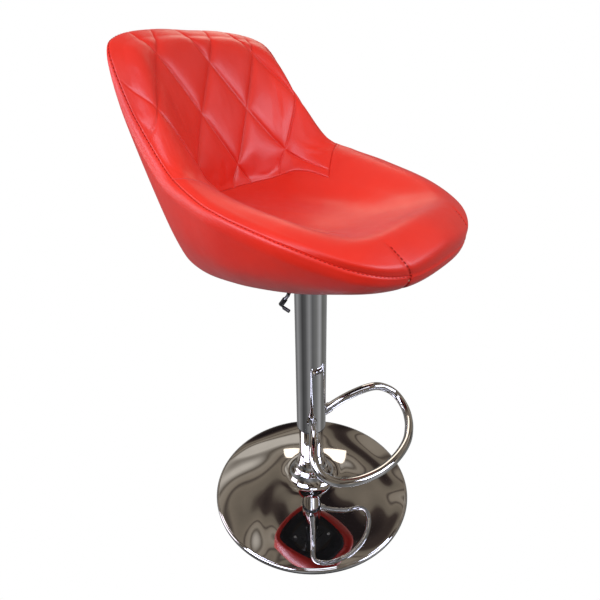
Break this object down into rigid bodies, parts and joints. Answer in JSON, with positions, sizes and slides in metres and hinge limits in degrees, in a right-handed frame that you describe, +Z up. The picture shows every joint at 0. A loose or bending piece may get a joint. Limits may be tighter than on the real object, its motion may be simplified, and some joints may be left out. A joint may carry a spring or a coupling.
{
  "type": "gas-lift bar stool",
  "caption": "Height-adjustable swivel bar stool with a quilted bucket seat, a bent footrest on the column sleeve and a round trumpet base.",
  "frame": {"origin": "middle of the base on the floor, on the swivel axis", "axes": "+Z up along the column; -Y is the way the sitter faces; +X is the sitter's left"},
  "size_m": [0.428, 0.5031, 0.8761],
  "materials": {
    "chrome": "mirror-polished chrome plate",
    "black_rubber": "matt black rubber",
    "black_steel": "satin black powder coat",
    "bright_steel": "machined steel",
    "black_plastic": "moulded black plastic",
    "brass_cage": "pressed brass",
    "plywood": "bare plywood",
    "stained_plywood": "plywood stained black",
    "dark_steel": "blackened steel rod",
    "red_padding": "red leatherette over foam",
    "dust_cloth": "black non-woven dust cloth over foam"
  },
  "bodies": {
    "base": {"floor_pad": "black_rubber", "ballast_plate": "black_steel", "base_shell": "chrome", "base_collar": "chrome", "tube_socket": "black_steel", "column_tube": "chrome", "tube_floor": "bright_steel", "guide_bush": "black_plastic", "lower_race": "bright_steel"},
    "bearing": {"bearing_cage": "brass_cage", "bearing_balls": "bright_steel"},
    "rod": {"upper_race": "bright_steel", "rod_clip": "bright_steel", "piston_rod": "bright_steel", "piston": "black_plastic", "rod_bumper": "black_rubber"},
    "seat": {"pressure_tube": "black_steel", "tube_gland": "black_plastic", "valve_block": "black_plastic", "outer_sleeve": "chrome", "sleeve_bush": "black_plastic", "footrest": "chrome", "footrest_collars": "chrome", "taper_socket": "black_steel", "seat_plate": "black_steel", "seat_bolts": "bright_steel", "bolt_washers": "bright_steel", "mounting_board": "stained_plywood", "t_nuts": "bright_steel", "lever_pin": "bright_steel", "base_pan": "dust_cloth", "seat_shell": "plywood", "seat_cushion": "red_padding", "side_bolster": "red_padding", "back_pad": "red_padding", "outer_front_cover": "red_padding", "outer_back_cover": "red_padding"},
    "lever": {"lever_rocker": "bright_steel", "lever_rod": "dark_steel", "lever_grip": "black_plastic"},
    "release": {"release_pin": "bright_steel"}
  },
  "joints": [
    {"name": "seat_swivel", "type": "hinge", "parent": "base", "child": "rod", "pos_m": [0, 0, 0.018], "axis": [0, 0, 1], "continuous": true},
    {"name": "bearing_roll", "type": "hinge", "parent": "base", "child": "bearing", "pos_m": [0, 0, 0.018], "axis": [0, 0, 1], "continuous": true},
    {"name": "height_slide", "type": "slide", "parent": "rod", "child": "seat", "axis": [0, 0, 1], "range_m": [0, 0.21]},
    {"name": "lever_lift", "type": "hinge", "parent": "seat", "child": "lever", "pos_m": [-0.03, 0, 0.517], "axis": [0, 1, 0], "range_deg": [0, 5], "stiffness_Nm_per_rad": 2, "springref_deg": -2.86},
    {"name": "pin_push", "type": "slide", "parent": "seat", "child": "release", "axis": [0, 0, -1], "range_m": [0, 0.003]}
  ],
  "couplings": [
    {"joint": "bearing_roll", "follows": "seat_swivel", "ratio": 0.5},
    {"joint": "pin_push", "follows": "lever_lift", "m_per_rad": 0.03}
  ]
}
